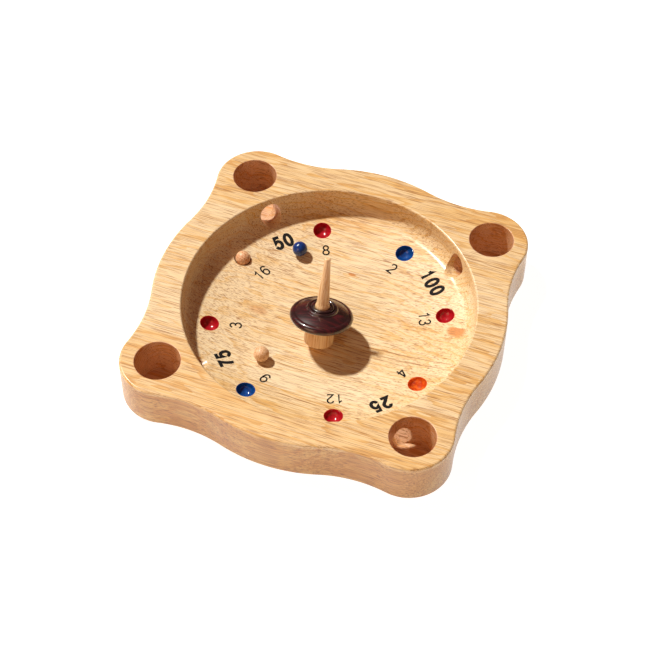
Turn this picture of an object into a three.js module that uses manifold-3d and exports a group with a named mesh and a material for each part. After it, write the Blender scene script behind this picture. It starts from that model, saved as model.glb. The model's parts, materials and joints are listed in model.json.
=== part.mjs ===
// Tyrolean roulette: a wavy square board with a turned basin, four corner pots that
// sloping tunnels join to the basin, a wooden spinning top, and small wooden balls.
// Millimetres, +Z up, X along the grain, origin at the centre of the underside.
import * as THREE from 'three';
import { mergeVertices } from 'three/addons/utils/BufferGeometryUtils.js';
import Module from 'manifold-3d';

const kernel = await Module();
kernel.setup();

// Board: the outline is eight arcs a side, each tangent to the next.
const BOARD_THICKNESS = 38;
const BOARD_HALF_WIDTH = 137.5; // centre of the board to the crest of each bulge
const BULGE_RADIUS = 131.3;
const WAIST_RADIUS = 106;
const LOBE_RADIUS = 33;
const LOBE_OFFSET = 96.8; // corner lobe's centre, along X and along Y
const EDGE_CHAMFER = 1.5;
const STAVE_SEAMS = [-104, -73.5, -24.5, 24.5, 62, 100]; // Y of each glue line
const GLUE_LINE = 0.3;

// Basin: a flat middle, a shallow dish, a tight cove and an upright wall. It is turned a
// little off the board's centre.
const BASIN_CENTRE = [0.3, -1.3];
const BASIN_DEPTH = 31.7;
const FLAT_RADIUS = 25;
const DISH_RADIUS = 357;
const COVE_RADIUS = 12;
const WALL_RADIUS = 113.2;
const LIP = 1.5;

// Corner pots and the tunnels that lead to them.
const POT_OFFSET = 100;
const POT_RADIUS = 17.5;
const POT_DEPTH = 33;
const POT_LIP = 0.6;
const BIT_RADIUS = 8.8;
const BORE_START = 112.3; // how far from the board's centre a bore's drop is measured
const TUNNEL_SLOPE = THREE.MathUtils.degToRad(30);
const TUNNEL_DROP = 16; // depth of the axis at the start
const TUNNEL_REACH = 26; // each way from the start
const SCOOP_SLOPE = THREE.MathUtils.degToRad(14.5);
const SCOOP_DROP = 17;
const SCOOP_INWARD = 25;
const SCOOP_OUTWARD = 3;

// Dimples: a ring of eight round pockets in the dish.
const DIMPLE_COUNT = 8;
const DIMPLE_CENTRE = [-0.9, -0.7];
const DIMPLE_RING = 91.7;
const DIMPLE_SPHERE = 6.95;
const DIMPLE_MOUTH = 6.9;
const BALL_DIMPLE = 3; // the dimple that a ball lies in, counted from +X

// Balls.
const BALL_RADIUS = 6;
const BLUE_BALL_PLACE = [-45.8, 57.6];
const PLAIN_BALL_PLACE = [-36.8, -51.8];

// Spinning top, measured along its own axis from the point that it stands on.
const TOP_FOOT = [-0.3, -24.3];
const TOP_LEAN = THREE.MathUtils.degToRad(18.4);
const TOP_HEADING = THREE.MathUtils.degToRad(93.2);
const TOP_LENGTH = 80.9;
const POINT_RADIUS = 1;
const CONE_HEIGHT = 6;
const BARREL_RADIUS = 11.4;
const DISC_HEIGHT = 29; // middle of the disc's rim
const DISC_RADIUS = 24.5;
const RIM_RADIUS = 3.4;
const COLLAR_HEIGHT = 9.2; // the collar's top face, above the middle of the rim
const BEADS = [[12.2, 6.6], [11.8, 7.6], [10.4, 8.3], [9.4, 7.8], [8.9, 8.7], [7.6, COLLAR_HEIGHT]];
const BORE_BEVEL = 0.8;
const JOURNAL_RADIUS = 5.4;
const BORE_RADIUS = 5.7;
const FLARE_RADIUS = 5.6;
const STEM_RADIUS = 4.75;
const TIP_RADIUS = 2.1;
const TIP_BEVEL = 0.8;
const EDGE = 0.4; // small bevel on the barrel
const FLARE_HEIGHT = 3;

// How many flat sides stand for each round.
const BASIN_SIDES = 80;
const POT_SIDES = 40;
const BORE_SIDES = 28;
const DIMPLE_SIDES = 18;
const SPINDLE_SIDES = 32;
const DISC_SIDES = 44;
const BALL_SIDES = 16;

const CLEARANCE = 0.3; // gap kept between pieces that touch
const FINE = 1e-4;

// Wood and paint.
const PALE_WOOD = { color: 0xe6c07f, roughness: 0.45, metalness: 0 };
const SPINDLE_WOOD = { color: 0xd2a36a, roughness: 0.55, metalness: 0 };
const DARK_STAIN = { color: 0x3f0f14, roughness: 0.15, metalness: 0 };
const BLUE_PAINT = { color: 0x0b3c93, roughness: 0.2, metalness: 0 };

// A closed three.js geometry as a solid that can be joined and cut.
function solidOf(geometry) {
  const bare = geometry.clone();
  bare.deleteAttribute('normal');
  bare.deleteAttribute('uv');
  const merged = mergeVertices(bare, FINE);
  const corners = merged.index.array;
  const triangles = [];
  for (let i = 0; i < corners.length; i += 3) {
    const [a, b, c] = corners.subarray(i, i + 3);
    if (a !== b && b !== c && c !== a) triangles.push(a, b, c);
  }
  return new kernel.Manifold(new kernel.Mesh({
    numProp: 3,
    vertProperties: new Float32Array(merged.attributes.position.array),
    triVerts: new Uint32Array(triangles),
  }));
}

function geometryOf(solid) {
  const mesh = solid.getMesh();
  const geometry = new THREE.BufferGeometry();
  geometry.setAttribute('position', new THREE.BufferAttribute(mesh.vertProperties, 3));
  geometry.setIndex(new THREE.BufferAttribute(mesh.triVerts, 1));
  return geometry;
}

function arc(x, y, radius, start, end, steps) {
  return new THREE.EllipseCurve(x, y, radius, radius, start, end, end < start).getPoints(steps);
}

// A profile of (radius, height) points turned about +Z.
function turned(points, segments) {
  const profile = points.map((p) => new THREE.Vector2(p.x ?? p[0], p.y ?? p[1]));
  return new THREE.LatheGeometry(profile, segments).rotateX(Math.PI / 2);
}

function box(low, high) {
  const size = high.map((value, i) => value - low[i]);
  const middle = high.map((value, i) => (value + low[i]) / 2);
  return new THREE.BoxGeometry(...size).translate(...middle);
}

function sphere(radius, sides) {
  return new THREE.SphereGeometry(radius, sides, Math.round(sides / 1.7)).rotateX(Math.PI / 2);
}

// Where a waist arc's centre lies: it touches a bulge and a lobe from outside.
function waistCentre() {
  const bulge = new THREE.Vector2(0, BOARD_HALF_WIDTH - BULGE_RADIUS);
  const lobe = new THREE.Vector2(LOBE_OFFSET, LOBE_OFFSET);
  const toBulge = BULGE_RADIUS + WAIST_RADIUS;
  const toLobe = LOBE_RADIUS + WAIST_RADIUS;
  const apart = lobe.clone().sub(bulge);
  const gap = apart.length();
  const along = (gap ** 2 + toBulge ** 2 - toLobe ** 2) / (2 * gap);
  const aside = Math.sqrt(toBulge ** 2 - along ** 2);
  const unit = apart.clone().normalize();
  const normal = new THREE.Vector2(-unit.y, unit.x);
  return bulge.clone().addScaledVector(unit, along).addScaledVector(normal, aside);
}

function boardOutline() {
  const waist = waistCentre();
  const bulgeY = BOARD_HALF_WIDTH - BULGE_RADIUS;
  const lobeAngle = Math.atan2(waist.y - LOBE_OFFSET, waist.x - LOBE_OFFSET);
  const bulgeAngle = Math.atan2(waist.y - bulgeY, waist.x);
  const side = [
    arc(LOBE_OFFSET, LOBE_OFFSET, LOBE_RADIUS, Math.PI / 2 - lobeAngle, lobeAngle, 14),
    arc(waist.x, waist.y, WAIST_RADIUS, lobeAngle - Math.PI, bulgeAngle - Math.PI, 6),
    arc(0, bulgeY, BULGE_RADIUS, bulgeAngle, Math.PI - bulgeAngle, 8),
    arc(-waist.x, waist.y, WAIST_RADIUS, -bulgeAngle, -lobeAngle, 6),
  ].flatMap((points) => points.slice(0, -1));
  const origin = new THREE.Vector2();
  const outline = [];
  for (let quarter = 0; quarter < 4; quarter++) {
    outline.push(...side.map((p) => p.clone().rotateAround(origin, (quarter * Math.PI) / 2)));
  }
  return new THREE.Shape(outline);
}

function boardBlank() {
  return new THREE.ExtrudeGeometry(boardOutline(), {
    depth: BOARD_THICKNESS - 2 * EDGE_CHAMFER,
    bevelThickness: EDGE_CHAMFER,
    bevelSize: EDGE_CHAMFER,
    bevelOffset: -EDGE_CHAMFER,
    bevelSegments: 1,
  }).translate(0, 0, EDGE_CHAMFER);
}

// Height of the dish's surface, and how far it tips from level, at a distance from the
// basin's centre that is inside the cove.
function dishHeight(radius) {
  const out = Math.max(radius - FLAT_RADIUS, 0);
  return BOARD_THICKNESS - BASIN_DEPTH + DISH_RADIUS - Math.sqrt(DISH_RADIUS ** 2 - out ** 2);
}

function dishTilt(radius) {
  return Math.asin(Math.max(radius - FLAT_RADIUS, 0) / DISH_RADIUS);
}

function basinCutter() {
  const floor = BOARD_THICKNESS - BASIN_DEPTH;
  const dishY = floor + DISH_RADIUS;
  const coveX = WALL_RADIUS - COVE_RADIUS;
  const coveY = dishY - Math.sqrt((DISH_RADIUS - COVE_RADIUS) ** 2 - (coveX - FLAT_RADIUS) ** 2);
  const meeting = Math.atan2(coveY - dishY, coveX - FLAT_RADIUS);
  return turned([
    [0, floor],
    ...arc(FLAT_RADIUS, dishY, DISH_RADIUS, -Math.PI / 2, meeting, 6),
    ...arc(coveX, coveY, COVE_RADIUS, meeting, 0, 7).slice(1),
    [WALL_RADIUS, BOARD_THICKNESS - LIP],
    [WALL_RADIUS + 2 * LIP, BOARD_THICKNESS + LIP],
    [0, BOARD_THICKNESS + LIP],
  ], BASIN_SIDES).translate(...BASIN_CENTRE, 0);
}

function potCutter(x, y) {
  const outline = [
    [0, BOARD_THICKNESS - POT_DEPTH],
    [POT_RADIUS, BOARD_THICKNESS - POT_DEPTH],
    [POT_RADIUS, BOARD_THICKNESS - POT_LIP],
    [POT_RADIUS + 2 * POT_LIP, BOARD_THICKNESS + POT_LIP],
    [0, BOARD_THICKNESS + POT_LIP],
  ];
  return turned(outline, POT_SIDES).translate(x, y, 0);
}

// A round bore that slopes down and out along a diagonal, at a depth below the board's top
// where it starts. It reaches inward and outward from there, along its own axis.
function sloping(slope, drop, inward, outward, diagonal) {
  return new THREE.CylinderGeometry(BIT_RADIUS, BIT_RADIUS, inward + outward, BORE_SIDES)
    .rotateZ(-Math.PI / 2)
    .translate((outward - inward) / 2, 0, 0)
    .rotateY(slope)
    .translate(BORE_START, 0, BOARD_THICKNESS - drop)
    .rotateZ(diagonal);
}

// A point at a distance from the dish, square to it from where it passes through (x, y), and
// the dish's outward normal there.
function offDish([x, y], distance) {
  const out = new THREE.Vector2(x - BASIN_CENTRE[0], y - BASIN_CENTRE[1]);
  const tilt = dishTilt(out.length());
  const surface = new THREE.Vector3(x, y, dishHeight(out.length()));
  const inward = out.normalize().multiplyScalar(-Math.sin(tilt));
  const normal = new THREE.Vector3(inward.x, inward.y, Math.cos(tilt));
  return { centre: surface.addScaledVector(normal, distance), normal };
}

// Middle of a dimple's sphere, which lies a little above the dish, and its outward normal.
function dimple(index) {
  const angle = ((index + 0.5) * 2 * Math.PI) / DIMPLE_COUNT;
  const x = DIMPLE_CENTRE[0] + DIMPLE_RING * Math.cos(angle);
  const y = DIMPLE_CENTRE[1] + DIMPLE_RING * Math.sin(angle);
  return offDish([x, y], Math.sqrt(DIMPLE_SPHERE ** 2 - DIMPLE_MOUTH ** 2));
}

function carvedBoard() {
  let board = solidOf(boardBlank()).subtract(solidOf(basinCutter()));
  const reach = 2 * BOARD_HALF_WIDTH;
  const abovePotFloor = solidOf(
    box([-reach, -reach, BOARD_THICKNESS - POT_DEPTH], [reach, reach, reach]),
  );
  for (let corner = 0; corner < 4; corner++) {
    const diagonal = Math.PI / 4 + (corner * Math.PI) / 2;
    const far = POT_OFFSET * Math.SQRT2;
    const pot = potCutter(far * Math.cos(diagonal), far * Math.sin(diagonal));
    const tunnel = solidOf(
      sloping(TUNNEL_SLOPE, TUNNEL_DROP, TUNNEL_REACH, TUNNEL_REACH, diagonal),
    );
    const scoop = solidOf(
      sloping(SCOOP_SLOPE, SCOOP_DROP, SCOOP_INWARD, SCOOP_OUTWARD, diagonal),
    );
    board = board
      .subtract(solidOf(pot))
      .subtract(tunnel.intersect(abovePotFloor))
      .subtract(scoop);
  }
  for (let index = 0; index < DIMPLE_COUNT; index++) {
    const pocket = sphere(DIMPLE_SPHERE, DIMPLE_SIDES).translate(...dimple(index).centre);
    board = board.subtract(solidOf(pocket));
  }
  return board;
}

// One glued stave: the part of the board between two glue lines.
function stave(board, index) {
  const reach = 2 * BOARD_HALF_WIDTH;
  const low = index === 0 ? -reach : STAVE_SEAMS[index - 1] + GLUE_LINE / 2;
  const high = index === STAVE_SEAMS.length ? reach : STAVE_SEAMS[index] - GLUE_LINE / 2;
  return board.intersect(solidOf(box([-reach, low, -1], [reach, high, reach])));
}

function spindle() {
  const shoulder = DISC_HEIGHT - RIM_RADIUS - CLEARANCE;
  const collar = DISC_HEIGHT + COLLAR_HEIGHT;
  return turned([
    [0, 0],
    [POINT_RADIUS, CLEARANCE],
    [BARREL_RADIUS - 2 * EDGE, CONE_HEIGHT - EDGE],
    [BARREL_RADIUS, CONE_HEIGHT + EDGE],
    [BARREL_RADIUS, shoulder - EDGE],
    [BARREL_RADIUS - EDGE, shoulder],
    [JOURNAL_RADIUS, shoulder],
    [JOURNAL_RADIUS, collar - BORE_BEVEL],
    [FLARE_RADIUS, collar],
    [STEM_RADIUS, collar + FLARE_HEIGHT],
    [TIP_RADIUS, TOP_LENGTH - TIP_BEVEL],
    [TIP_RADIUS - TIP_BEVEL, TOP_LENGTH],
    [0, TOP_LENGTH],
  ], SPINDLE_SIDES);
}

// A domed disc with a round rim, and two turned beads round its bore.
function disc() {
  const rimX = DISC_RADIUS - RIM_RADIUS;
  return turned([
    [BORE_RADIUS, DISC_HEIGHT - RIM_RADIUS],
    ...arc(rimX, DISC_HEIGHT, RIM_RADIUS, -Math.PI / 2, Math.PI / 2, 8),
    ...BEADS.map(([radius, height]) => [radius, DISC_HEIGHT + height]),
    [BORE_RADIUS, DISC_HEIGHT + COLLAR_HEIGHT - BORE_BEVEL],
    [BORE_RADIUS, DISC_HEIGHT - RIM_RADIUS],
  ], DISC_SIDES);
}

// Middle of a ball that lies on the dish, square above a place on it.
function onDish(place) {
  return offDish(place, BALL_RADIUS + CLEARANCE).centre;
}

// Middle of a ball that lies in a dimple.
function inDimple(index) {
  const { centre, normal } = dimple(index);
  return centre.addScaledVector(normal, -(DIMPLE_SPHERE - BALL_RADIUS - CLEARANCE));
}

function part(name, geometry, look) {
  const flat = geometry.index ? geometry.toNonIndexed() : geometry;
  flat.computeVertexNormals();
  const mesh = new THREE.Mesh(flat, new THREE.MeshStandardMaterial(look));
  mesh.name = name;
  return mesh;
}

const game = new THREE.Group();

const board = carvedBoard();
for (let index = 0; index <= STAVE_SEAMS.length; index++) {
  game.add(part(`board_stave_${index + 1}`, geometryOf(stave(board, index)), PALE_WOOD));
}

const top = new THREE.Group();
top.add(part('spinner_spindle', spindle(), SPINDLE_WOOD));
top.add(part('spinner_disc', disc(), DARK_STAIN));
top.position.set(...TOP_FOOT, BOARD_THICKNESS - BASIN_DEPTH + CLEARANCE);
const leanAxis = new THREE.Vector3(-Math.sin(TOP_HEADING), Math.cos(TOP_HEADING), 0);
top.quaternion.setFromAxisAngle(leanAxis, TOP_LEAN);
game.add(top);

const balls = [
  ['ball_blue', onDish(BLUE_BALL_PLACE), BLUE_PAINT],
  ['ball_natural', onDish(PLAIN_BALL_PLACE), PALE_WOOD],
  ['ball_in_dimple', inDimple(BALL_DIMPLE), PALE_WOOD],
];
for (const [name, place, look] of balls) {
  const mesh = part(name, sphere(BALL_RADIUS, BALL_SIDES), look);
  mesh.position.set(...place);
  game.add(mesh);
}

export default game;
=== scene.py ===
"""Looks of the game spinner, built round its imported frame.

The scene is in metres, with +Z up and the board's grain along X."""

import json
import math
from random import Random

import bpy
import numpy as np
from mathutils import Matrix, Vector


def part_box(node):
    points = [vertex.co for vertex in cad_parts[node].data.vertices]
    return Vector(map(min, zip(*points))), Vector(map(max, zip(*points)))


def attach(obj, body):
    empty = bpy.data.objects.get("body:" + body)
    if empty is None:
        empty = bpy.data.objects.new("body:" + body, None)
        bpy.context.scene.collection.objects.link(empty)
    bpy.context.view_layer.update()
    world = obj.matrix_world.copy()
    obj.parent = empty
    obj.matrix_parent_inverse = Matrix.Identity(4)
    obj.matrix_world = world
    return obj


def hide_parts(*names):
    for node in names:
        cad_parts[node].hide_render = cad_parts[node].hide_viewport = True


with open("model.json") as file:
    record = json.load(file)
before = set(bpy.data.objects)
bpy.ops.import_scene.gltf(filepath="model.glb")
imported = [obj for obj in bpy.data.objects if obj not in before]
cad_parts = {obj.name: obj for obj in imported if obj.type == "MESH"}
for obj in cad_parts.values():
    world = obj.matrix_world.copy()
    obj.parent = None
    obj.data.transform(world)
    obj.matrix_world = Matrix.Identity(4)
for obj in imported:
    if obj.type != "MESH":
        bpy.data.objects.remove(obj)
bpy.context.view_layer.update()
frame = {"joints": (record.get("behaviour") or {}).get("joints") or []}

MM = 0.001

# ---------------------------------------------------------------- sizes, in millimetres
# The board is glued from staves, counted from -Y. Its outer sizes come from the frame.
STAVE_COUNT = 7
STAVES = [f"board_stave_{index + 1}" for index in range(STAVE_COUNT)]
THICKNESS = max(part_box(stave)[1].z for stave in STAVES) / MM
HALF_WIDTH = max(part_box(stave)[1].x for stave in STAVES) / MM

# The outline is made of arcs: a bulge on each side, a lobe at each corner, waists between them.
BULGE_RADIUS = 131.3
WAIST_RADIUS = 106.0
LOBE_RADIUS = 33.0
LOBE_OFFSET = 96.8
BULGE_Y = HALF_WIDTH - BULGE_RADIUS
LOBE_STEPS = 44
WAIST_STEPS = 20
BULGE_STEPS = 36
EDGE_ROUND = 2.0
EDGE_STEPS = 6
SIDE_LEVELS = (0.2, 0.4, 0.6, 0.8)

# Basin: flat middle, dish, cove, upright wall, rounded lip, turned a little off centre.
BASIN_CENTRE = Vector((0.3, -1.3, 0.0))
BASIN_DEPTH = 31.7
FLAT_RADIUS = 25.0
DISH_RADIUS = 357.0
COVE_RADIUS = 12.0
WALL_RADIUS = 113.2
LIP = 1.5
# A lip's arc ends this far short of level, and goes on straight above the board.
LIP_END = math.radians(12)
LIP_STEPS = 6
BASIN_SEGMENTS = 240
FLOOR = THICKNESS - BASIN_DEPTH
DISH_Z = FLOOR + DISH_RADIUS
COVE_R = WALL_RADIUS - COVE_RADIUS
COVE_Z = DISH_Z - math.sqrt((DISH_RADIUS - COVE_RADIUS) ** 2 - (COVE_R - FLAT_RADIUS) ** 2)
COVE_START = math.atan2(COVE_Z - DISH_Z, COVE_R - FLAT_RADIUS)

# Pots and the tunnels to them.
POT_OFFSET = 100.0
POT_RADIUS = 17.4
POT_DEPTH = 33.0
POT_LIP = 0.6
POT_FILLET = 0.8
POT_SEGMENTS = 96
POT_FLOOR = THICKNESS - POT_DEPTH
BIT_RADIUS = 8.8
BIT_SEGMENTS = 72
BORE_START = 112.3
TUNNEL_SLOPE = math.radians(30)
TUNNEL_DROP = 16.0
TUNNEL_REACH = 26.0
TUNNEL_CLEARANCE = 0.05
SCOOP_SLOPE = math.radians(14.5)
SCOOP_DROP = 17.0
SCOOP_INWARD = 25.0
SCOOP_OUTWARD = 3.0
CORNER_ANGLES = [math.radians(45 + 90 * corner) for corner in range(4)]

# Dimples, counted anticlockwise from +X: the colour in each, and the number beside it.
DIMPLE_CENTRE = Vector((-0.9, -0.7, 0.0))
DIMPLE_RING = 91.7
DIMPLE_SPHERE = 6.95
DIMPLE_MOUTH = 6.9
DIMPLE_LIP = 0.3
DIMPLE_LIP_END = math.radians(14)
DIMPLE_RISE = 1.5
DIMPLE_SEGMENTS = 56
DIMPLES = [
    ("red", "13"), ("blue", "2"), ("red", "8"), ("bare", "16"),
    ("red", "3"), ("blue", "9"), ("red", "12"), ("orange", "4"),
]
TUNNEL_NUMBERS = ["100", "50", "75", "25"]

# Half of the gap between two staves of the carved mesh, which stands for a shut glue line.
HAIRLINE = 0.02

# What each face of the carved board is part of.
OUTSIDE, BASIN, POT, TUNNEL, SCOOP, SEAM, BARE, RED, BLUE, ORANGE = range(10)
PAINT_FACES = {"bare": BARE, "red": RED, "blue": BLUE, "orange": ORANGE}
FACE_KINDS = 10


# ---------------------------------------------------------------- plain mesh helpers
def arc(x, y, radius, start, end, steps):
    """Points on an arc round (x, y), both ends included."""
    angles = np.linspace(start, end, steps + 1)
    return [(x + radius * math.cos(a), y + radius * math.sin(a)) for a in angles]


def new_object(name, points, faces, kind=None):
    """An object from points and faces. Its faces are all of one kind if a kind is given."""
    mesh = bpy.data.meshes.new(name)
    mesh.from_pydata([tuple(p) for p in points], [], faces)
    if kind is not None:
        for _ in range(FACE_KINDS):
            mesh.materials.append(None)
        mesh.polygons.foreach_set("material_index", [kind] * len(faces))
    mesh.update()
    obj = bpy.data.objects.new(name, mesh)
    bpy.context.scene.collection.objects.link(obj)
    return obj


def loft(rings, closed):
    """Points and faces of rings of points joined in order. A ring of one point is a pole."""
    points, starts = [], []
    for ring in rings:
        starts.append(len(points))
        points.extend(ring)
    faces = []
    pairs = list(zip(range(len(rings)), range(1, len(rings))))
    if closed:
        pairs.append((len(rings) - 1, 0))
    for low, high in pairs:
        count = max(len(rings[low]), len(rings[high]))
        for i in range(count):
            j = (i + 1) % count
            a = starts[low] + (i if len(rings[low]) > 1 else 0)
            b = starts[low] + (j if len(rings[low]) > 1 else 0)
            c = starts[high] + (j if len(rings[high]) > 1 else 0)
            d = starts[high] + (i if len(rings[high]) > 1 else 0)
            faces.append(tuple(dict.fromkeys((a, b, c, d))))
    return points, faces


def turned(profile, segments, closed=False):
    """Points and faces of a profile of (radius, height) points turned about Z, from bottom to top."""
    rings = []
    for radius, height in profile:
        count = segments if radius > 0 else 1
        angles = [2 * math.pi * i / segments for i in range(count)]
        rings.append([(radius * math.cos(a), radius * math.sin(a), height) for a in angles])
    return loft(rings, closed)


def joined(parts):
    """Several (points, faces) as one."""
    points, faces = [], []
    for part_points, part_faces in parts:
        start = len(points)
        points.extend(part_points)
        faces.extend(tuple(start + i for i in face) for face in part_faces)
    return points, faces


def placed(part, matrix):
    """The same (points, faces), moved by a matrix."""
    points, faces = part
    return [tuple(matrix @ Vector(p)) for p in points], faces


# The faces of a box whose corners are listed by x, then y, then z, the lower of each first.
BOX_FACES = [(0, 1, 3, 2), (4, 6, 7, 5), (0, 4, 5, 1), (2, 3, 7, 6), (0, 2, 6, 4), (1, 5, 7, 3)]


def block(name, xs, ys, zs, kind):
    """A box between two values along each axis."""
    corners = [(x, y, z) for x in xs for y in ys for z in zs]
    return new_object(name, corners, BOX_FACES, kind)


def boolean(target, other, operation):
    """Cuts or keeps part of the target's mesh, and deletes the other object."""
    modifier = target.modifiers.new("cut", "BOOLEAN")
    modifier.operation = operation
    modifier.solver = "EXACT"
    modifier.material_mode = "INDEX"
    modifier.object = other
    graph = bpy.context.evaluated_depsgraph_get()
    result = bpy.data.meshes.new_from_object(target.evaluated_get(graph))
    target.modifiers.clear()
    old = target.data
    target.data = result
    bpy.data.meshes.remove(old)
    bpy.data.objects.remove(other)


# ---------------------------------------------------------------- the board's shape
def waist_centre():
    """The middle of the arc that touches a side's bulge and the corner's lobe beside it."""
    bulge = Vector((0, BULGE_Y))
    lobe = Vector((LOBE_OFFSET, LOBE_OFFSET))
    to_bulge = BULGE_RADIUS + WAIST_RADIUS
    to_lobe = LOBE_RADIUS + WAIST_RADIUS
    gap = (lobe - bulge).length
    along = (gap ** 2 + to_bulge ** 2 - to_lobe ** 2) / (2 * gap)
    aside = math.sqrt(to_bulge ** 2 - along ** 2)
    unit = (lobe - bulge).normalized()
    return bulge + unit * along + Vector((-unit.y, unit.x)) * aside


WAIST = waist_centre()
LOBE_ANGLE = math.atan2(WAIST.y - LOBE_OFFSET, WAIST.x - LOBE_OFFSET)
BULGE_ANGLE = math.atan2(WAIST.y - BULGE_Y, WAIST.x)


def outline(inset):
    """The board's outline, moved inward: convex arcs shrink and hollow arcs grow."""
    lobe = LOBE_RADIUS - inset
    waist = WAIST_RADIUS + inset
    bulge = BULGE_RADIUS - inset
    side = [
        arc(LOBE_OFFSET, LOBE_OFFSET, lobe, math.pi / 2 - LOBE_ANGLE, LOBE_ANGLE, LOBE_STEPS),
        arc(WAIST.x, WAIST.y, waist, LOBE_ANGLE - math.pi, BULGE_ANGLE - math.pi, WAIST_STEPS),
        arc(0, BULGE_Y, bulge, BULGE_ANGLE, math.pi - BULGE_ANGLE, BULGE_STEPS),
        arc(-WAIST.x, WAIST.y, waist, -BULGE_ANGLE, -LOBE_ANGLE, WAIST_STEPS),
    ]
    points = []
    for cos, sin in [(1, 0), (0, 1), (-1, 0), (0, -1)]:
        for piece in side:
            points.extend((cos * x - sin * y, sin * x + cos * y) for x, y in piece[:-1])
    return points


def blank():
    """The uncarved board, with rounded edges."""
    turns = [math.pi / 2 * i / EDGE_STEPS for i in range(EDGE_STEPS + 1)]
    levels = [(EDGE_ROUND * (1 - math.sin(a)), EDGE_ROUND * (1 - math.cos(a))) for a in turns]
    for share in SIDE_LEVELS:
        levels.append((0.0, EDGE_ROUND + share * (THICKNESS - 2 * EDGE_ROUND)))
    for a in turns:
        height = THICKNESS - EDGE_ROUND * (1 - math.sin(a))
        levels.append((EDGE_ROUND * (1 - math.cos(a)), height))
    rings = [[(x, y, z) for x, y in outline(inset)] for inset, z in levels]
    points, faces = loft(rings, closed=False)
    count = len(rings[0])
    faces.append(tuple(reversed(range(count))))
    faces.append(tuple(range(len(points) - count, len(points))))
    return points, faces


def dish_height(radius):
    """The dish's height at a distance from the basin's centre."""
    out = max(radius - FLAT_RADIUS, 0.0)
    return DISH_Z - math.sqrt(DISH_RADIUS ** 2 - out ** 2)


def dish_tilt(radius):
    """The dish's slope at a distance from the basin's centre."""
    return math.asin(max(radius - FLAT_RADIUS, 0.0) / DISH_RADIUS)


def lip_arc(wall, lip):
    """A lip that rolls out from a wall's top, ended just short of level and carried on upward."""
    points = arc(wall + lip, THICKNESS - lip, lip, math.pi, math.pi / 2 + LIP_END, LIP_STEPS)
    x, z = points[-1]
    rise = 2 * lip
    return points + [(x + rise / math.tan(LIP_END), z + rise)]


def basin():
    """The solid that is taken out of the board to leave the basin."""
    profile = [(0.0, FLOOR), (8.0, FLOOR), (16.0, FLOOR)]
    profile += arc(FLAT_RADIUS, DISH_Z, DISH_RADIUS, -math.pi / 2, COVE_START, 26)
    profile += arc(COVE_R, COVE_Z, COVE_RADIUS, COVE_START, 0.0, 14)[1:]
    profile += lip_arc(WALL_RADIUS, LIP)
    profile.append((0.0, profile[-1][1]))
    return placed(turned(profile, BASIN_SEGMENTS), Matrix.Translation(BASIN_CENTRE))


def pot():
    """The solid that is taken out of the board to leave a pot, round its own axis."""
    profile = [(0.0, POT_FLOOR), (POT_RADIUS * 0.5, POT_FLOOR)]
    fillet = POT_RADIUS - POT_FILLET
    profile += arc(fillet, POT_FLOOR + POT_FILLET, POT_FILLET, -math.pi / 2, 0.0, 4)
    profile += lip_arc(POT_RADIUS, POT_LIP)
    profile.append((0.0, profile[-1][1]))
    return turned(profile, POT_SEGMENTS)


def along_diagonal(slope, drop, diagonal):
    """From a bore's own axis, +Z outward and down, to its place through the basin wall."""
    tilt = Matrix.Rotation(math.pi / 2 + slope, 4, "Y")
    place = Matrix.Translation((BORE_START, 0, THICKNESS - drop))
    return Matrix.Rotation(diagonal, 4, "Z") @ place @ tilt


def bore(inward, outward):
    """A round bore from one distance inward to another outward, along its own axis."""
    levels = np.linspace(-inward, outward, 9)
    profile = [(0.0, -inward)] + [(BIT_RADIUS, z) for z in levels] + [(0.0, outward)]
    return turned(profile, BIT_SEGMENTS)


def pocket(index):
    """A dimple: part of a sphere with a rounded lip, square to the dish."""
    depth = DIMPLE_SPHERE - math.sqrt(DIMPLE_SPHERE ** 2 - DIMPLE_MOUTH ** 2)
    reach = DIMPLE_SPHERE + DIMPLE_LIP
    lip_x = math.sqrt(reach ** 2 - (DIMPLE_SPHERE - depth + DIMPLE_LIP) ** 2)
    meet = math.asin(lip_x / reach)
    ball_arc = arc(0, DIMPLE_SPHERE - depth, DIMPLE_SPHERE, -math.pi / 2, meet - math.pi / 2, 14)
    lip_end = math.pi / 2 + DIMPLE_LIP_END
    lip = arc(lip_x, -DIMPLE_LIP, DIMPLE_LIP, meet + math.pi / 2, lip_end, 4)
    x, z = lip[-1]
    profile = [(0.0, -depth)] + ball_arc[1:] + lip[1:]
    profile.append((x + DIMPLE_RISE / math.tan(DIMPLE_LIP_END), z + DIMPLE_RISE))
    profile.append((0.0, profile[-1][1]))
    return placed(turned(profile, DIMPLE_SEGMENTS), dimple_frame(index))


def dimple_angle(index):
    return (index + 0.5) * 2 * math.pi / len(DIMPLES)


def dimple_frame(index):
    """From a frame with its origin at the dimple's mouth and +Z out of it, to the board's."""
    angle = dimple_angle(index)
    spot = DIMPLE_CENTRE + DIMPLE_RING * Vector((math.cos(angle), math.sin(angle), 0.0))
    out = spot - BASIN_CENTRE
    heading = Matrix.Rotation(math.atan2(out.y, out.x), 4, "Z")
    tilt = Matrix.Rotation(-dish_tilt(out.length), 4, "Y")
    spot.z = dish_height(out.length)
    return Matrix.Translation(spot) @ heading @ tilt


def tunnels():
    """The four tunnels, ended level with the pots' floors."""
    parts = []
    for diagonal in CORNER_ANGLES:
        place = along_diagonal(TUNNEL_SLOPE, TUNNEL_DROP, diagonal)
        parts.append(placed(bore(TUNNEL_REACH, TUNNEL_REACH), place))
    cutter = new_object("tunnels", *joined(parts), TUNNEL)
    side = 2 * HALF_WIDTH
    low = POT_FLOOR + TUNNEL_CLEARANCE
    kept = block("above_floors", (-side, side), (-side, side), (low, side), TUNNEL)
    boolean(cutter, kept, "INTERSECT")
    return cutter


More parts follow.
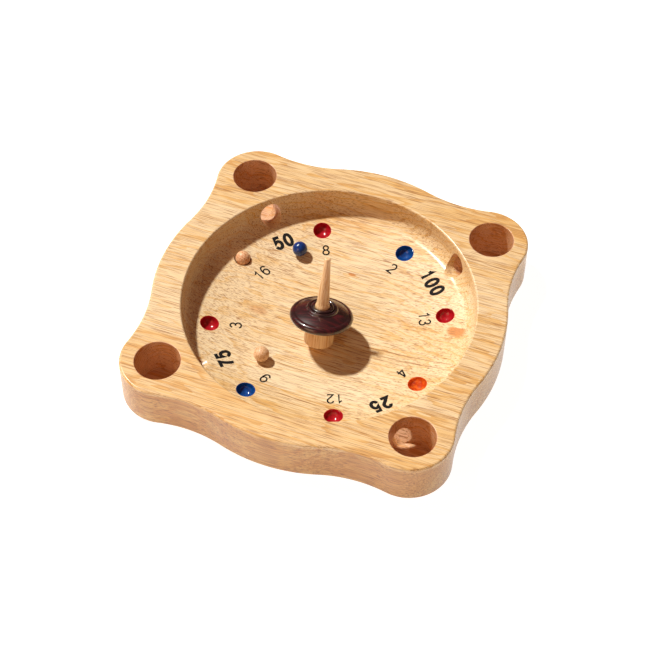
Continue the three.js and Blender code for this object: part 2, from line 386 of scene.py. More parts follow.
def carved_board():
    """The whole board, its faces marked with what they are part of."""
    board = new_object("carved", *blank(), OUTSIDE)
    boolean(board, new_object("basin", *basin(), BASIN), "DIFFERENCE")
    pots = []
    far = POT_OFFSET * math.sqrt(2)
    for angle in CORNER_ANGLES:
        place = Matrix.Translation((far * math.cos(angle), far * math.sin(angle), 0))
        pots.append(placed(pot(), place))
    boolean(board, new_object("pots", *joined(pots), POT), "DIFFERENCE")
    boolean(board, tunnels(), "DIFFERENCE")
    scoops = []
    for angle in CORNER_ANGLES:
        place = along_diagonal(SCOOP_SLOPE, SCOOP_DROP, angle)
        scoops.append(placed(bore(SCOOP_INWARD, SCOOP_OUTWARD), place))
    boolean(board, new_object("scoops", *joined(scoops), SCOOP), "DIFFERENCE")
    for index, (colour, _) in enumerate(DIMPLES):
        cutter = new_object("pocket", *pocket(index), PAINT_FACES[colour])
        boolean(board, cutter, "DIFFERENCE")
    return board


# ---------------------------------------------------------------- building shaders
class Shader:
    """One node material, built up from small steps."""

    def __init__(self, name):
        self.material = bpy.data.materials.new(name)
        self.material.use_nodes = True
        self.tree = self.material.node_tree
        self.surface = self.tree.nodes["Principled BSDF"]

    def put(self, socket, value):
        """Links another node's output to a socket, or sets its plain value."""
        if isinstance(value, bpy.types.NodeSocket):
            self.tree.links.new(value, socket)
        else:
            socket.default_value = value

    def node(self, kind, inputs, output=0, **settings):
        """A new node of a kind. Gives one of its outputs."""
        made = self.tree.nodes.new(kind)
        for name, value in settings.items():
            setattr(made, name, value)
        for key, value in inputs.items():
            self.put(made.inputs[key], value)
        return made.outputs[output]

    def math(self, operation, a, b=0.0, c=0.0):
        return self.node("ShaderNodeMath", {0: a, 1: b, 2: c}, operation=operation)

    def split(self, vector):
        made = self.tree.nodes.new("ShaderNodeSeparateXYZ")
        self.tree.links.new(vector, made.inputs[0])
        return made.outputs

    def stretched(self, vector, sizes):
        """The vector divided by a size along each axis."""
        return self.node("ShaderNodeVectorMath", {0: vector, 1: sizes}, operation="DIVIDE")

    def moved(self, vector, offset):
        return self.node("ShaderNodeVectorMath", {0: vector, 1: offset}, operation="ADD")

    def noise(self, vector, detail=2.0, roughness=0.5):
        inputs = {"Vector": vector, "Scale": 1.0, "Detail": detail, "Roughness": roughness}
        return self.node("ShaderNodeTexNoise", inputs)

    def step(self, value, low, high, start=0.0, end=1.0):
        """A smooth step from start to end as value goes from low to high."""
        inputs = {"Value": value, 1: low, 2: high, 3: start, 4: end}
        return self.node("ShaderNodeMapRange", inputs, interpolation_type="SMOOTHSTEP")

    def mix(self, share, a, b, blend="MIX"):
        inputs = {0: share, 6: a, 7: b}
        return self.node("ShaderNodeMix", inputs, 2, data_type="RGBA", blend_type=blend)

    def bump(self, height, distance, strength=1.0):
        inputs = {"Height": height, "Distance": distance, "Strength": strength}
        self.put(self.surface.inputs["Normal"], self.node("ShaderNodeBump", inputs))

    def sum_of_squares(self, a, b):
        return self.math("ADD", self.math("MULTIPLY", a, a), self.math("MULTIPLY", b, b))

    def set(self, **values):
        """Sets inputs of the surface, with underscores for the spaces in their names."""
        for name, value in values.items():
            self.put(self.surface.inputs[name.replace("_", " ")], value)

    def place_mm(self, turn=(0, 0, 0)):
        """The piece's own coordinates in millimetres, turned."""
        point = self.node("ShaderNodeTexCoord", {}, 3)
        inputs = {"Vector": point, "Rotation": turn, "Scale": (1 / MM, 1 / MM, 1 / MM)}
        return self.node("ShaderNodeMapping", inputs)


def rgb(red, green, blue):
    return (red, green, blue, 1.0)


# ---------------------------------------------------------------- materials
PALE = rgb(0.93, 0.79, 0.53)
HONEY = rgb(0.80, 0.51, 0.18)
AMBER = rgb(0.66, 0.32, 0.08)
GRAIN_BROWN = rgb(0.34, 0.13, 0.03)
KNOT_ORANGE = rgb(0.66, 0.24, 0.03)
# Painted shade: multiplied into the pots and tunnels to make them darker and redder, as in their
# shadow.
HOLLOW_SHADE_TINT = rgb(0.92, 0.76, 0.80)
# Painted shade: multiplied into the board's sides to make them darker and more orange.
SIDE_SHADE_TINT = rgb(0.82, 0.68, 0.40)
STAIN_BLACK = rgb(0.016, 0.004, 0.006)
STAIN_RED = rgb(0.12, 0.008, 0.014)
INK_BLACK = rgb(0.006, 0.006, 0.007)
INK_THIN = rgb(0.05, 0.035, 0.02)

# How much deeper than the palest wood each stave is, and how much more outside the dish.
STAVE_TONES = [0.34, 0.30, 0.0, 0.10, 0.02, 0.16, 0.28]
OUTSIDE_TONE = 0.20

# Sizes of the board's figure in millimetres: along the grain, then across it.
WANDER_SIZE = (150, 28, 28)
RIPPLE_SIZE = (34, 5, 5)
BROAD_SIZE = (120, 22, 22)
STREAK_SIZE = (60, 1.1, 1.1)
LONG_LINE_SIZE = (90, 1.3, 1.3)
FIBRE_SIZE = (12, 0.35, 0.35)
PORE_SIZE = (18, 0.5, 0.5)
PORE_ZONE_SIZE = (60, 9, 9)

# Growth rings round the heart of the tree, and how far they stray from round.
RING_WIDTH = 6.5
WANDER_DEPTH = 46.0
RIPPLE_DEPTH = 3.0

# Late wood starts and is full at these shares of a ring, and ends sharply at the next ring.
LATE_WOOD = (0.62, 0.97)

# How much each part of the figure deepens the wood's colour, or darkens it. Colour deeper than
# the amber start turns from honey towards amber.
LATE_WOOD_DEPTH = 0.5
BROAD_DEPTH = 0.30
STREAK_DEPTH = 0.34
# Painted shade on the board's sides.
SIDE_SHADE_DEPTH = 0.15
FIBRE_DARKNESS = 0.20
LONG_LINE_DARKNESS = 0.34
PORE_DARKNESS = 0.60
SIDE_STREAK_DARKNESS = 0.28
AMBER_START = 0.75

# The board's sides get painted shade, and extra streaks, below these heights: wholly below the
# first, not above the second.
SIDE_HEIGHTS = (33.0, 37.2)

# Marks in the wood: the stave counted from 0, then the mark's middle and its half-size along
# X and Y, its colour and its strength.
MARKS = [
    (4, (0.7, 52.3), (4.0, 1.5), KNOT_ORANGE, 0.9),
    (3, (-56.6, -7.1), (9.0, 4.5), KNOT_ORANGE, 0.4),
    (3, (97.0, 22.0), (9.0, 8.0), KNOT_ORANGE, 0.95),
    (3, (66.0, -11.5), (56.0, 0.7), GRAIN_BROWN, 0.6),
    (3, (72.0, -17.0), (46.0, 0.6), GRAIN_BROWN, 0.55),
    (3, (52.0, -20.5), (30.0, 0.5), GRAIN_BROWN, 0.45),
    (2, (20.0, -62.0), (40.0, 0.5), GRAIN_BROWN, 0.4),
    (4, (-40.0, 34.0), (35.0, 0.5), GRAIN_BROWN, 0.35),
    (1, (55.0, -92.0), (60.0, 0.6), GRAIN_BROWN, 0.5),
    (1, (-20.0, -99.0), (50.0, 0.5), GRAIN_BROWN, 0.4),
    (6, (10.0, 122.0), (60.0, 0.6), GRAIN_BROWN, 0.45),
]


def board_wood(index, surface):
    """Rubberwood with its grain along X: growth lines, fine streaks and open pores.

    The outside has aged a little deeper than the dish. Its sides get painted shade, darker and
    more orange, and the pots and tunnels get painted shade, darker and redder."""
    shader = Shader(f"board_wood_{index + 1}_{surface}")
    outside = surface == "outside"
    random = Random(40 + index)
    heart_y = random.uniform(-60, 60)
    heart_z = random.uniform(-90, -50)
    offset = [random.uniform(-900, 900) for _ in range(3)]
    tone = STAVE_TONES[index] + (OUTSIDE_TONE if outside else 0.0)

    bare_place = shader.place_mm()
    place = shader.moved(bare_place, (0, -heart_y, -heart_z))
    shifted = shader.moved(place, offset)
    wander = shader.noise(shader.stretched(shifted, WANDER_SIZE), 3.0, 0.55)
    ripple = shader.noise(shader.stretched(shifted, RIPPLE_SIZE), 2.0)
    _, y, z = shader.split(place)
    radius = shader.math("SQRT", shader.sum_of_squares(y, z))
    radius = shader.math("MULTIPLY_ADD", wander, WANDER_DEPTH, radius)
    radius = shader.math("MULTIPLY_ADD", ripple, RIPPLE_DEPTH, radius)
    ring = shader.math("FRACT", shader.math("DIVIDE", radius, RING_WIDTH))
    late = shader.step(ring, *LATE_WOOD)
    late = shader.math("MULTIPLY", late, shader.step(ring, 1.0, 0.985))

    broad = shader.noise(shader.stretched(shifted, BROAD_SIZE), 2.0)
    streak = shader.noise(shader.stretched(shifted, STREAK_SIZE), 4.0, 0.6)
    fibre = shader.noise(shader.stretched(shifted, FIBRE_SIZE), 2.0, 0.6)
    pore_place = shader.noise(shader.stretched(shifted, PORE_SIZE), 1.0, 0.4)
    pore_zone = shader.noise(shader.stretched(shifted, PORE_ZONE_SIZE), 2.0)
    pore = shader.step(shader.math("MULTIPLY_ADD", pore_zone, 0.14, pore_place), 0.63, 0.70)
    long_place = shader.noise(shader.stretched(shifted, LONG_LINE_SIZE), 1.0, 0.4)
    long_line = shader.step(long_place, 0.62, 0.70)

    share = shader.math("MULTIPLY_ADD", late, LATE_WOOD_DEPTH, tone)
    share = shader.math("MULTIPLY_ADD", shader.step(broad, 0.42, 0.66), BROAD_DEPTH, share)
    share = shader.math("MULTIPLY_ADD", shader.step(streak, 0.42, 0.68), STREAK_DEPTH, share)
    # Painted shade: the sides below the top's edge are deepened in colour.
    if outside:
        side = shader.step(shader.split(bare_place)[2], *SIDE_HEIGHTS, 1.0, 0.0)
        share = shader.math("MULTIPLY_ADD", side, SIDE_SHADE_DEPTH, share)
    colour = shader.mix(shader.math("MINIMUM", share, 1.0), PALE, HONEY)
    over = shader.math("SUBTRACT", share, AMBER_START)
    colour = shader.mix(shader.step(over, 0.0, 0.6, 0.0, 0.6), colour, AMBER)
    for stave, centre, size, mark_colour, strength in MARKS:
        if stave == index:
            colour = marked(shader, bare_place, colour, centre, size, mark_colour, strength)
    dark = shader.math("MULTIPLY", shader.step(fibre, 0.48, 0.66), FIBRE_DARKNESS)
    dark = shader.math("MULTIPLY_ADD", long_line, LONG_LINE_DARKNESS, dark)
    dark = shader.math("MULTIPLY_ADD", pore, PORE_DARKNESS, dark)
    if outside:
        side_streak = shader.math("MULTIPLY", side, shader.step(streak, 0.46, 0.60))
        dark = shader.math("MULTIPLY_ADD", side_streak, SIDE_STREAK_DARKNESS, dark)
    colour = shader.mix(shader.math("MINIMUM", dark, 1.0), colour, GRAIN_BROWN)

    # Painted shade in the pots and tunnels.
    if surface == "bored_painted_shade":
        colour = shader.mix(1.0, colour, HOLLOW_SHADE_TINT, "MULTIPLY")
    # Painted shade on the board's sides.
    if outside:
        colour = shader.mix(side, colour, SIDE_SHADE_TINT, "MULTIPLY")

    shader.set(Base_Color=colour, Coat_Weight=0.55, Coat_Roughness=0.24)
    shader.set(Roughness=shader.math("MULTIPLY_ADD", streak, 0.18, 0.40))
    relief = shader.math("MULTIPLY_ADD", pore, -1.0, shader.math("MULTIPLY", fibre, 0.25))
    shader.bump(relief, 0.08 * MM, 0.5)
    return shader.material


def marked(shader, place, colour, centre, size, mark_colour, strength):
    """The colour with a soft-edged mark in it, drawn out along the grain."""
    wobble_depth = 3.0
    wobble = shader.noise(shader.stretched(place, (14, 5, 5)), 2.0)
    x, y, _ = shader.split(place)
    y = shader.math("MULTIPLY_ADD", wobble, wobble_depth, y)
    middle_y = centre[1] + wobble_depth / 2
    along = shader.math("DIVIDE", shader.math("SUBTRACT", x, centre[0]), size[0])
    across = shader.math("DIVIDE", shader.math("SUBTRACT", y, middle_y), size[1])
    far = shader.sum_of_squares(along, across)
    return shader.mix(shader.step(far, 1.0, 0.25, 0.0, strength), colour, mark_colour)


def turned_wood(name, pale, dark, stretch, turn):
    """A close-grained hardwood with its grain along the piece's own Z.

    The stretch is the length and the width of its streaks, and the turn is of its figure."""
    shader = Shader(name)
    place = shader.place_mm(turn)
    long, wide = stretch
    x, y, _ = shader.split(place)
    warp = shader.noise(shader.stretched(place, (7, 7, 40)), 2.0)
    ring = shader.math("MULTIPLY_ADD", warp, 5.0, shader.math("ADD", x, y))
    ring = shader.math("SINE", shader.math("MULTIPLY", ring, 2.4))
    streak = shader.noise(shader.stretched(place, (wide, wide, long)), 3.0, 0.6)
    pore = shader.noise(shader.stretched(place, (wide * 0.4, wide * 0.4, long * 0.5)), 1.0)
    share = shader.math("MULTIPLY_ADD", ring, 0.16, shader.step(streak, 0.35, 0.7))
    colour = shader.mix(shader.math("MAXIMUM", share, 0.0), pale, dark)
    pores = shader.step(pore, 0.62, 0.72, 0.0, 0.45)
    colour = shader.mix(pores, colour, GRAIN_BROWN)
    shader.set(Base_Color=colour, Roughness=shader.math("MULTIPLY_ADD", streak, 0.2, 0.42))
    shader.set(Coat_Weight=0.2, Coat_Roughness=0.25)
    shader.bump(shader.math("MULTIPLY", pores, -1.0), 0.05 * MM, 0.5)
    return shader.material


def paint(name, deep, light):
    """Gloss paint that has sunk a little into the wood's grain."""
    shader = Shader(name)
    place = shader.place_mm()
    cloud = shader.noise(shader.stretched(place, (4, 2, 2)), 3.0, 0.6)
    grain = shader.noise(shader.stretched(place, (5, 0.5, 0.5)), 2.0)
    shader.set(Base_Color=shader.mix(shader.step(cloud, 0.35, 0.7), deep, light))
    shader.set(Roughness=shader.math("MULTIPLY_ADD", cloud, 0.15, 0.45), Specular_IOR_Level=0.1)
    shader.set(Coat_Weight=1.0, Coat_Roughness=0.03)
    shader.bump(shader.math("ADD", cloud, shader.math("MULTIPLY", grain, 0.4)), 0.05 * MM, 0.3)
    return shader.material


def dark_stain():
    """Turned wood under a dark mahogany stain and gloss varnish."""
    shader = Shader("mahogany_stain")
    place = shader.place_mm()
    streak = shader.noise(shader.stretched(place, (22, 0.8, 3.0)), 3.0, 0.6)
    cloud = shader.noise(shader.stretched(place, (10, 6, 6)), 2.0)
    share = shader.math("MULTIPLY", shader.step(streak, 0.38, 0.72), shader.step(cloud, 0.3, 0.65))
    colour = shader.mix(share, STAIN_BLACK, STAIN_RED)
    shader.set(Base_Color=colour, Roughness=shader.math("MULTIPLY_ADD", streak, 0.15, 0.25))
    shader.set(Coat_Weight=1.0, Coat_Roughness=0.04)
    shader.bump(streak, 0.03 * MM, 0.4)
    return shader.material


def ink():
    """Black printing ink, thin where the grain shows through."""
    shader = Shader("number_ink")
    place = shader.place_mm()
    thin = shader.noise(shader.stretched(place, (3, 0.3, 0.3)), 2.0)
    share = shader.step(thin, 0.62, 0.8)
    shader.set(Base_Color=shader.mix(share, INK_BLACK, INK_THIN))
    shader.set(Roughness=0.75, Specular_IOR_Level=0.2)
    return shader.material


# ---------------------------------------------------------------- the board's pieces
PAINTS = {
    RED: ("red_paint", rgb(0.34, 0.003, 0.010), rgb(0.52, 0.008, 0.018)),
    BLUE: ("blue_paint", rgb(0.001, 0.04, 0.20), rgb(0.002, 0.08, 0.36)),
    ORANGE: ("orange_paint", rgb(0.55, 0.05, 0.006), rgb(0.85, 0.17, 0.015)),
}


def finished(obj, slot, body, *nodes, sharp=35):
    """Millimetres to metres, smooth shading, and the piece's place in the frame."""
    obj.data.transform(Matrix.Scale(MM, 4))
    obj.data.polygons.foreach_set("use_smooth", [True] * len(obj.data.polygons))
    obj.data.set_sharp_from_angle(angle=math.radians(sharp))
    weighted = obj.modifiers.new("even_shading", "WEIGHTED_NORMAL")
    weighted.keep_sharp = True
    weighted.weight = 80
    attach(obj, body)
    if nodes:
        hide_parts(*nodes)
    return obj


def board():
    """The carved board, parted into its staves at the frame's glue lines."""
    carved = carved_board()
    paints = {kind: paint(*colours) for kind, colours in PAINTS.items()}
    reach = 2 * HALF_WIDTH
    seams = [-reach]
    for stave, following in zip(STAVES, STAVES[1:]):
        seams.append((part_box(stave)[1].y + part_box(following)[0].y) / 2 / MM)
    seams.append(reach)
    for index, node in enumerate(STAVES):
        low, high = seams[index] + HAIRLINE, seams[index + 1] - HAIRLINE
        stave = bpy.data.objects.new(f"stave_{index + 1}_carved", carved.data.copy())
        bpy.context.scene.collection.objects.link(stave)
        between = block("between_seams", (-reach, reach), (low, high), (-reach, reach), SEAM)
        boolean(stave, between, "INTERSECT")
        # The pots and tunnels take a copy of the wood with painted shade.
        bored_painted_shade = board_wood(index, "bored_painted_shade")
        faced = {OUTSIDE: board_wood(index, "outside"), POT: bored_painted_shade, TUNNEL: bored_painted_shade, **paints}
        dished = board_wood(index, "dished")
        for kind in range(FACE_KINDS):
            stave.data.materials[kind] = faced.get(kind, dished)
        finished(stave, "board_wood", "board", node)
    bpy.data.objects.remove(carved)


# ---------------------------------------------------------------- the printed numbers
def bow(x, y, wide, high, start, end):
    """Points of part of an ellipse, from one angle to another in degrees."""
    angles = [math.radians(a) for a in np.linspace(start, end, 25)]
    return [(x + wide * math.cos(a), y + high * math.sin(a)) for a in angles]


# Each digit is one or two pen strokes in a box one unit wide and one unit high.
DIGITS = {
    "0": [bow(0.5, 0.5, 0.5, 0.5, 90, 450)],
    "1": [[(0.14, 0.78), (0.34, 0.82), (0.50, 0.90), (0.60, 1.0), (0.60, 0.0)]],
    "2": [bow(0.5, 0.71, 0.47, 0.29, 172, -32) + [(0.42, 0.28), (0.04, 0.0), (1.0, 0.0)]],
    "3": [bow(0.49, 0.755, 0.42, 0.245, 165, -90), bow(0.49, 0.265, 0.50, 0.265, 100, -168)],
    "4": [[(0.66, 1.0), (0.0, 0.29), (1.0, 0.29)], [(0.72, 1.0), (0.72, 0.0)]],
    "5": [[(0.92, 1.0), (0.20, 1.0)] + bow(0.48, 0.33, 0.50, 0.33, 148, -160)],
    "6": [bow(0.5, 0.31, 0.48, 0.31, 90, 450), bow(0.54, 0.5, 0.54, 0.5, 190, 35)],
    "7": [[(0.0, 1.0), (1.0, 1.0), (0.70, 0.68), (0.48, 0.34), (0.38, 0.0)]],
    "8": [bow(0.5, 0.76, 0.41, 0.24, 90, 450), bow(0.5, 0.26, 0.5, 0.26, 90, 450)],
    "9": [bow(0.5, 0.69, 0.48, 0.31, 90, 450), bow(0.46, 0.5, 0.54, 0.5, 10, -145)],
}

# The longest mitre, in half-widths of the pen.
SHARPEST = 2.2

# The numbers' ring, and how they are drawn by a dimple and by a tunnel: the distance of their
# middles from the ring's centre, height, each digit's width, the pen's width, gap.
NUMBER_CENTRE = Vector((1.2, -0.3, 0.0))
BY_DIMPLE = (73.6, 9.8, 6.0, 1.25, 1.0)
BY_TUNNEL = (89.0, 13.0, 8.0, 2.75, 0.8)

# How far the print stands off the dish, and one stroke off the stroke before it.
PRINT_LIFT = 0.05
STROKE_LIFT = 0.01


def ribbon(stroke, half, lift):
    """A stroke as a flat strip, mitred at its corners."""
    points = [Vector(p) for p in stroke]
    round_trip = (points[0] - points[-1]).length < 0.01
    sides = [b - a for a, b in zip(points, points[1:])]
    normals = [Vector((-side.y, side.x)).normalized() for side in sides]
    strip = []
    for i, point in enumerate(points):
        first = normals[i - 1] if i or round_trip else normals[0]
        second = normals[i] if i < len(normals) else normals[0 if round_trip else -1]
        middle = (first + second).normalized()
        reach = min(1 / max(middle.dot(first), 0.1), SHARPEST)
        for side in (half, -half):
            edge = point + middle * reach * side
            strip.append((edge.x, edge.y, lift))
    faces = [(i, i + 1, i + 3, i + 2) for i in range(0, len(strip) - 2, 2)]
    return strip, faces


def number(text, angle, radius, height, wide, pen, spacing):
    """Points and faces of a printed number that follows the dish, its top towards the rim."""
    digits = []
    pitch = wide + spacing
    for place, digit in enumerate(text):
        left = (place - len(text) / 2) * pitch + spacing / 2
        for layer, stroke in enumerate(DIGITS[digit]):
            inner_wide, inner_high = wide - pen, height - pen
            inked = [(left + pen / 2 + x * inner_wide, pen / 2 + y * inner_high) for x, y in stroke]
            digits.append(ribbon(inked, pen / 2, PRINT_LIFT + STROKE_LIFT * layer))
    points, faces = joined(digits)
    cos, sin = math.cos(angle), math.sin(angle)
    bent = []
    for aside, up, lift in points:
        out = radius - height / 2 + up
        spot = NUMBER_CENTRE + Vector((out * cos + aside * sin, out * sin - aside * cos, 0.0))
        spot.z = dish_height((spot - BASIN_CENTRE).length) + lift
        bent.append(tuple(spot))
    return bent, faces


def numbers():
    """All the numbers as one flat piece."""
    parts = []
    for index, (_, text) in enumerate(DIMPLES):
        parts.append(number(text, dimple_angle(index), *BY_DIMPLE))
    for text, angle in zip(TUNNEL_NUMBERS, CORNER_ANGLES):
        parts.append(number(text, angle, *BY_TUNNEL))
    obj = new_object("printed_numbers", *joined(parts))
    obj.data.materials.append(ink())
    finished(obj, None, "board", sharp=30)


# ---------------------------------------------------------------- the spinning top
# Radii, and heights above the point, along the top's own axis.
BARREL_RADIUS = 11.4
BARREL_TOP = 25.3
BARREL_EDGE = 0.6
CONE_FOOT = (1.0, 0.35)
CONE_TOP = (10.5, 5.55)
SHOULDER_HEIGHT = 6.55
SHOULDER_EDGE = 1.0
JOURNAL_RADIUS = 5.4
STEM_RADIUS = 4.6
STEM_START = 44.5
STEM_LENGTH = 34.6
STEM_TAPER = 2.3
TIP_EDGE = 1.0
TIP_RISE = 0.8
SPINDLE_SEGMENTS = 72
DISC_HEIGHT = 29.0
DISC_RADIUS = 24.5
DISC_SEGMENTS = 120
RIM_RADIUS = 3.4
BORE_RADIUS = 5.7


def top_frame():
    """From the top's own frame, its point at the origin and its axis +Z, to the board's."""
    joint = next(j for j in frame["joints"] if j["name"] == "spinner_spin")
    axis = Vector(joint["axis"]).normalized()
    turn = axis.to_track_quat("Z", "Y").to_matrix().to_4x4()
    return Matrix.Translation(Vector(joint["pos_m"])) @ turn


def spindle():
    """Point, cone, barrel, journal for the disc, bead and a tapered stem with a round tip."""
    profile = [(0.0, 0.0), (0.5, 0.08), (0.9, 0.3)]
    foot, top = Vector(CONE_FOOT), Vector(CONE_TOP)
    profile += [tuple(foot.lerp(top, share)) for share in (0.25, 0.5, 0.75)]
    shoulder = BARREL_RADIUS - SHOULDER_EDGE
    profile += arc(shoulder, SHOULDER_HEIGHT, SHOULDER_EDGE, -math.radians(60), 0.0, 5)
    profile += [(BARREL_RADIUS, 10.0), (11.35, 12.5), (BARREL_RADIUS, 15.0), (BARREL_RADIUS, 20.0)]
    corner = (BARREL_RADIUS - BARREL_EDGE, BARREL_TOP - BARREL_EDGE)
    profile += arc(*corner, BARREL_EDGE, 0.0, math.pi / 2, 5)
    profile += [(JOURNAL_RADIUS, height) for height in (BARREL_TOP, 30.0, 36.6)]
    profile += [(5.6, 37.6), (5.6, 38.2), (5.55, 38.8), (5.3, 39.8), (4.95, 41.0), (4.72, 42.4)]
    profile += [(STEM_RADIUS, STEM_START)]
    for share in np.linspace(0.1, 1.0, 10):
        profile.append((STEM_RADIUS - STEM_TAPER * share, STEM_START + STEM_LENGTH * share))
    tip = (STEM_RADIUS - STEM_TAPER - TIP_EDGE, STEM_START + STEM_LENGTH + TIP_RISE)
    profile += arc(*tip, TIP_EDGE, 0.0, math.pi / 2, 6)
    profile += [(0.0, profile[-1][1])]
    obj = new_object("spindle_turned", *turned(profile, SPINDLE_SEGMENTS))
    obj.data.materials.append(turned_wood(
        "spindle_wood", rgb(0.95, 0.70, 0.40), rgb(0.74, 0.42, 0.18), (26, 0.9), (0, 0, 0.6)))
    return obj


def disc():
    """Round rim, a fine groove, a domed top that rises to two beads, and a flat underside."""
    rim = DISC_RADIUS - RIM_RADIUS
    profile = [(radius, -RIM_RADIUS) for radius in (BORE_RADIUS, 9.0, 15.0, 19.0)]
    profile += arc(rim, 0.0, RIM_RADIUS, -math.pi / 2, math.radians(78), 18)
    profile += [(21.3, 3.35), (20.9, 3.25), (20.5, 3.42), (19.6, 3.85), (18.4, 4.4), (17.0, 4.95)]
    profile += [(15.6, 5.45), (14.2, 5.9), (13.2, 6.2), (12.6, 6.3), (12.25, 6.45)]
    profile += arc(10.9, 7.2, 1.1, math.radians(-10), math.radians(170), 10)
    profile += [(9.6, 7.3), (9.3, 7.25), (9.05, 7.5)]
    profile += arc(7.6, 7.8, 1.35, math.radians(5), math.radians(120), 8)
    profile += [(6.4, 8.75), (BORE_RADIUS, 8.4)]
    profile = [(radius, DISC_HEIGHT + height) for radius, height in profile]
    obj = new_object("disc_turned", *turned(profile, DISC_SEGMENTS, closed=True))
    obj.data.materials.append(dark_stain())
    return obj


def spinner():
    place = top_frame()
    pieces = [
        (spindle(), "spindle_wood", "spinner_spindle"),
        (disc(), "dark_stain", "spinner_disc"),
    ]
    for obj, slot, node in pieces:
        obj.matrix_world = place
        finished(obj, slot, "spinner", node, sharp=50)


# ---------------------------------------------------------------- balls
BALL_POLE = math.radians(9)
BALL_STEPS = 44
BALL_SEGMENTS = 64
TOOL_RING_DEPTH = 0.0008
TOOL_RING_TURN = 2.1


def ball(name, node, slot, material, grain):
    """A turned wooden ball: a small flat at each end of its grain, and faint tool rings."""
    low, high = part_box(node)
    middle = (low + high) / 2
    radius = (high - low).z / 2 / MM
    pole = radius * math.cos(BALL_POLE)
    profile = [(0.0, -pole)]
    for step in range(BALL_STEPS + 1):
        angle = -math.pi / 2 + BALL_POLE + (math.pi - 2 * BALL_POLE) * step / BALL_STEPS
        reach = radius * (1 - TOOL_RING_DEPTH * (1 + math.cos(step * TOOL_RING_TURN)))
        profile.append((reach * math.cos(angle), reach * math.sin(angle)))
    profile.append((0.0, pole))
    obj = new_object(name, *turned(profile, BALL_SEGMENTS))
    obj.data.materials.append(material)
    turn = Vector(grain).normalized().to_track_quat("Z", "Y").to_matrix().to_4x4()
    obj.matrix_world = Matrix.Translation(middle) @ turn
    finished(obj, slot, node, node, sharp=60)


def balls():
    blue = paint("ball_blue_paint", rgb(0.002, 0.025, 0.15), rgb(0.004, 0.05, 0.28))
    pale = rgb(0.90, 0.60, 0.36)
    ringed = turned_wood("ball_ring_wood", pale, rgb(0.60, 0.22, 0.08), (14, 1.1), (0, 0, 0))
    plain = turned_wood("ball_plain_wood", pale, rgb(0.66, 0.36, 0.16), (14, 1.2), (0, 0, 1.1))
    ball("ball_painted_blue", "ball_blue", "blue_paint", blue, (0.3, 0.2, 0.9))
    ball("ball_turned_plain", "ball_natural", "ball_wood", plain, (0.2, -0.5, 0.8))
    ball("ball_turned_ringed", "ball_in_dimple", "ball_wood", ringed, (0.5, -0.6, 0.5))


# ---------------------------------------------------------------- studio
# The camera looks at the target from this far, round from -Y towards +X and up. Its distance
# is in metres, its lens and sensor in millimetres.
CAMERA_TARGET = Vector((5.8, -25.5, 38.0)) * MM
CAMERA_DISTANCE = 1.2993
CAMERA_AZIMUTH = math.radians(19.55)
CAMERA_ELEVATION = math.radians(51.82)
CAMERA_ROLL = math.radians(0.42)
CAMERA_LENS = 95.08
CAMERA_SENSOR = 36.0

# Directions point from the board to each light. The lamp's sizes are in metres.
SUN_DIRECTION = Vector((-0.521, 0.174, 0.836))
SUN_STRENGTH = 3.75
SUN_WIDTH = math.radians(4)
SUN_COLOUR = (1.0, 0.96, 0.88)
FILL_DIRECTION = Vector((-0.35, -0.85, 0.5))
FILL_DISTANCE = 1.4
FILL_SIZE = 0.8
FILL_POWER = 4.4
FILL_COLOUR = (1.0, 0.62, 0.38)
SKY_COLOUR = rgb(1.0, 0.45, 0.33)
SKY_STRENGTH = 0.15

# The floor glows, so that it comes out as pale as paper. Its sizes are in metres.
FLOOR_REACH = 6.0
FLOOR_HEIGHT = -0.0002
FLOOR_GREYS = (rgb(0.36, 0.36, 0.36), rgb(0.39, 0.39, 0.39))
FLOOR_GLOW = 0.96


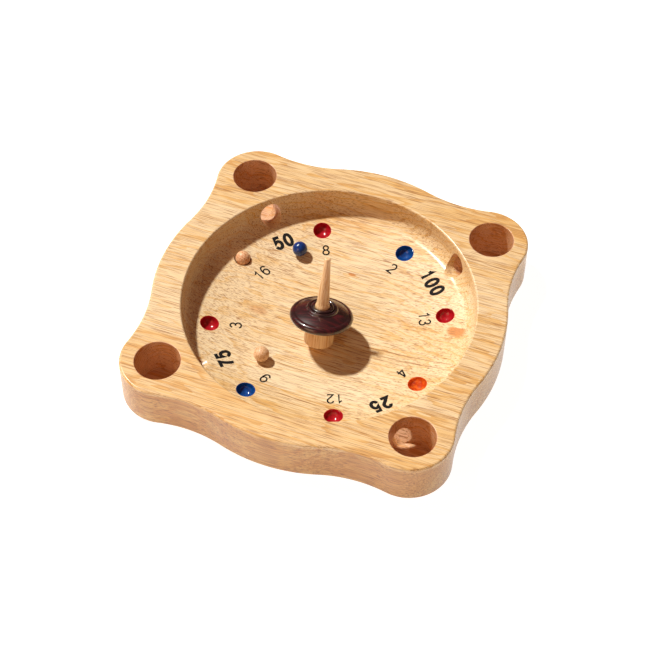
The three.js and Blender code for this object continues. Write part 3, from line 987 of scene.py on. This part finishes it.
def camera():
    azimuth, elevation, roll = CAMERA_AZIMUTH, CAMERA_ELEVATION, CAMERA_ROLL
    back = Vector((
        math.sin(azimuth) * math.cos(elevation),
        -math.cos(azimuth) * math.cos(elevation),
        math.sin(elevation),
    ))
    right = Vector((math.cos(azimuth), math.sin(azimuth), 0))
    up = back.cross(right)
    across = math.cos(roll) * right + math.sin(roll) * up
    data = bpy.data.cameras.new("camera")
    data.lens = CAMERA_LENS
    data.sensor_width = CAMERA_SENSOR
    obj = bpy.data.objects.new("camera", data)
    turn = Matrix((across, back.cross(across), back)).transposed().to_4x4()
    obj.matrix_world = Matrix.Translation(CAMERA_TARGET + back * CAMERA_DISTANCE) @ turn
    bpy.context.scene.collection.objects.link(obj)
    bpy.context.scene.camera = obj


def lights():
    """A sun for the hard shadows, and a warm soft lamp on the front."""
    sun = bpy.data.lights.new("key", "SUN")
    sun.energy = SUN_STRENGTH
    sun.angle = SUN_WIDTH
    sun.color = SUN_COLOUR
    key = bpy.data.objects.new("key", sun)
    key.rotation_euler = SUN_DIRECTION.to_track_quat("Z", "Y").to_euler()
    bpy.context.scene.collection.objects.link(key)

    area = bpy.data.lights.new("fill", "AREA")
    area.size = FILL_SIZE
    area.energy = FILL_POWER
    area.color = FILL_COLOUR
    fill = bpy.data.objects.new("fill", area)
    toward = FILL_DIRECTION.normalized()
    fill.location = toward * FILL_DISTANCE
    fill.rotation_euler = toward.to_track_quat("Z", "Y").to_euler()
    bpy.context.scene.collection.objects.link(fill)


def sky():
    world = bpy.data.worlds.new("studio")
    world.use_nodes = True
    background = world.node_tree.nodes["Background"]
    background.inputs["Color"].default_value = SKY_COLOUR
    background.inputs["Strength"].default_value = SKY_STRENGTH
    bpy.context.scene.world = world


def paper_floor():
    shader = Shader("floor_paper")
    fleck = shader.noise(shader.stretched(shader.place_mm(), (90, 90, 90)), 2.0)
    shader.set(Base_Color=shader.mix(fleck, *FLOOR_GREYS))
    shader.set(Roughness=0.9, Emission_Color=rgb(1, 1, 1), Emission_Strength=FLOOR_GLOW)
    corners = [(-1, -1), (1, -1), (1, 1), (-1, 1)]
    points = [(x * FLOOR_REACH, y * FLOOR_REACH, FLOOR_HEIGHT) for x, y in corners]
    floor = new_object("floor", points, [(0, 1, 2, 3)])
    floor.data.materials.append(shader.material)


camera()
board()
numbers()
spinner()
balls()
lights()
sky()
paper_floor()
bpy.context.scene.view_settings.view_transform = "Standard"
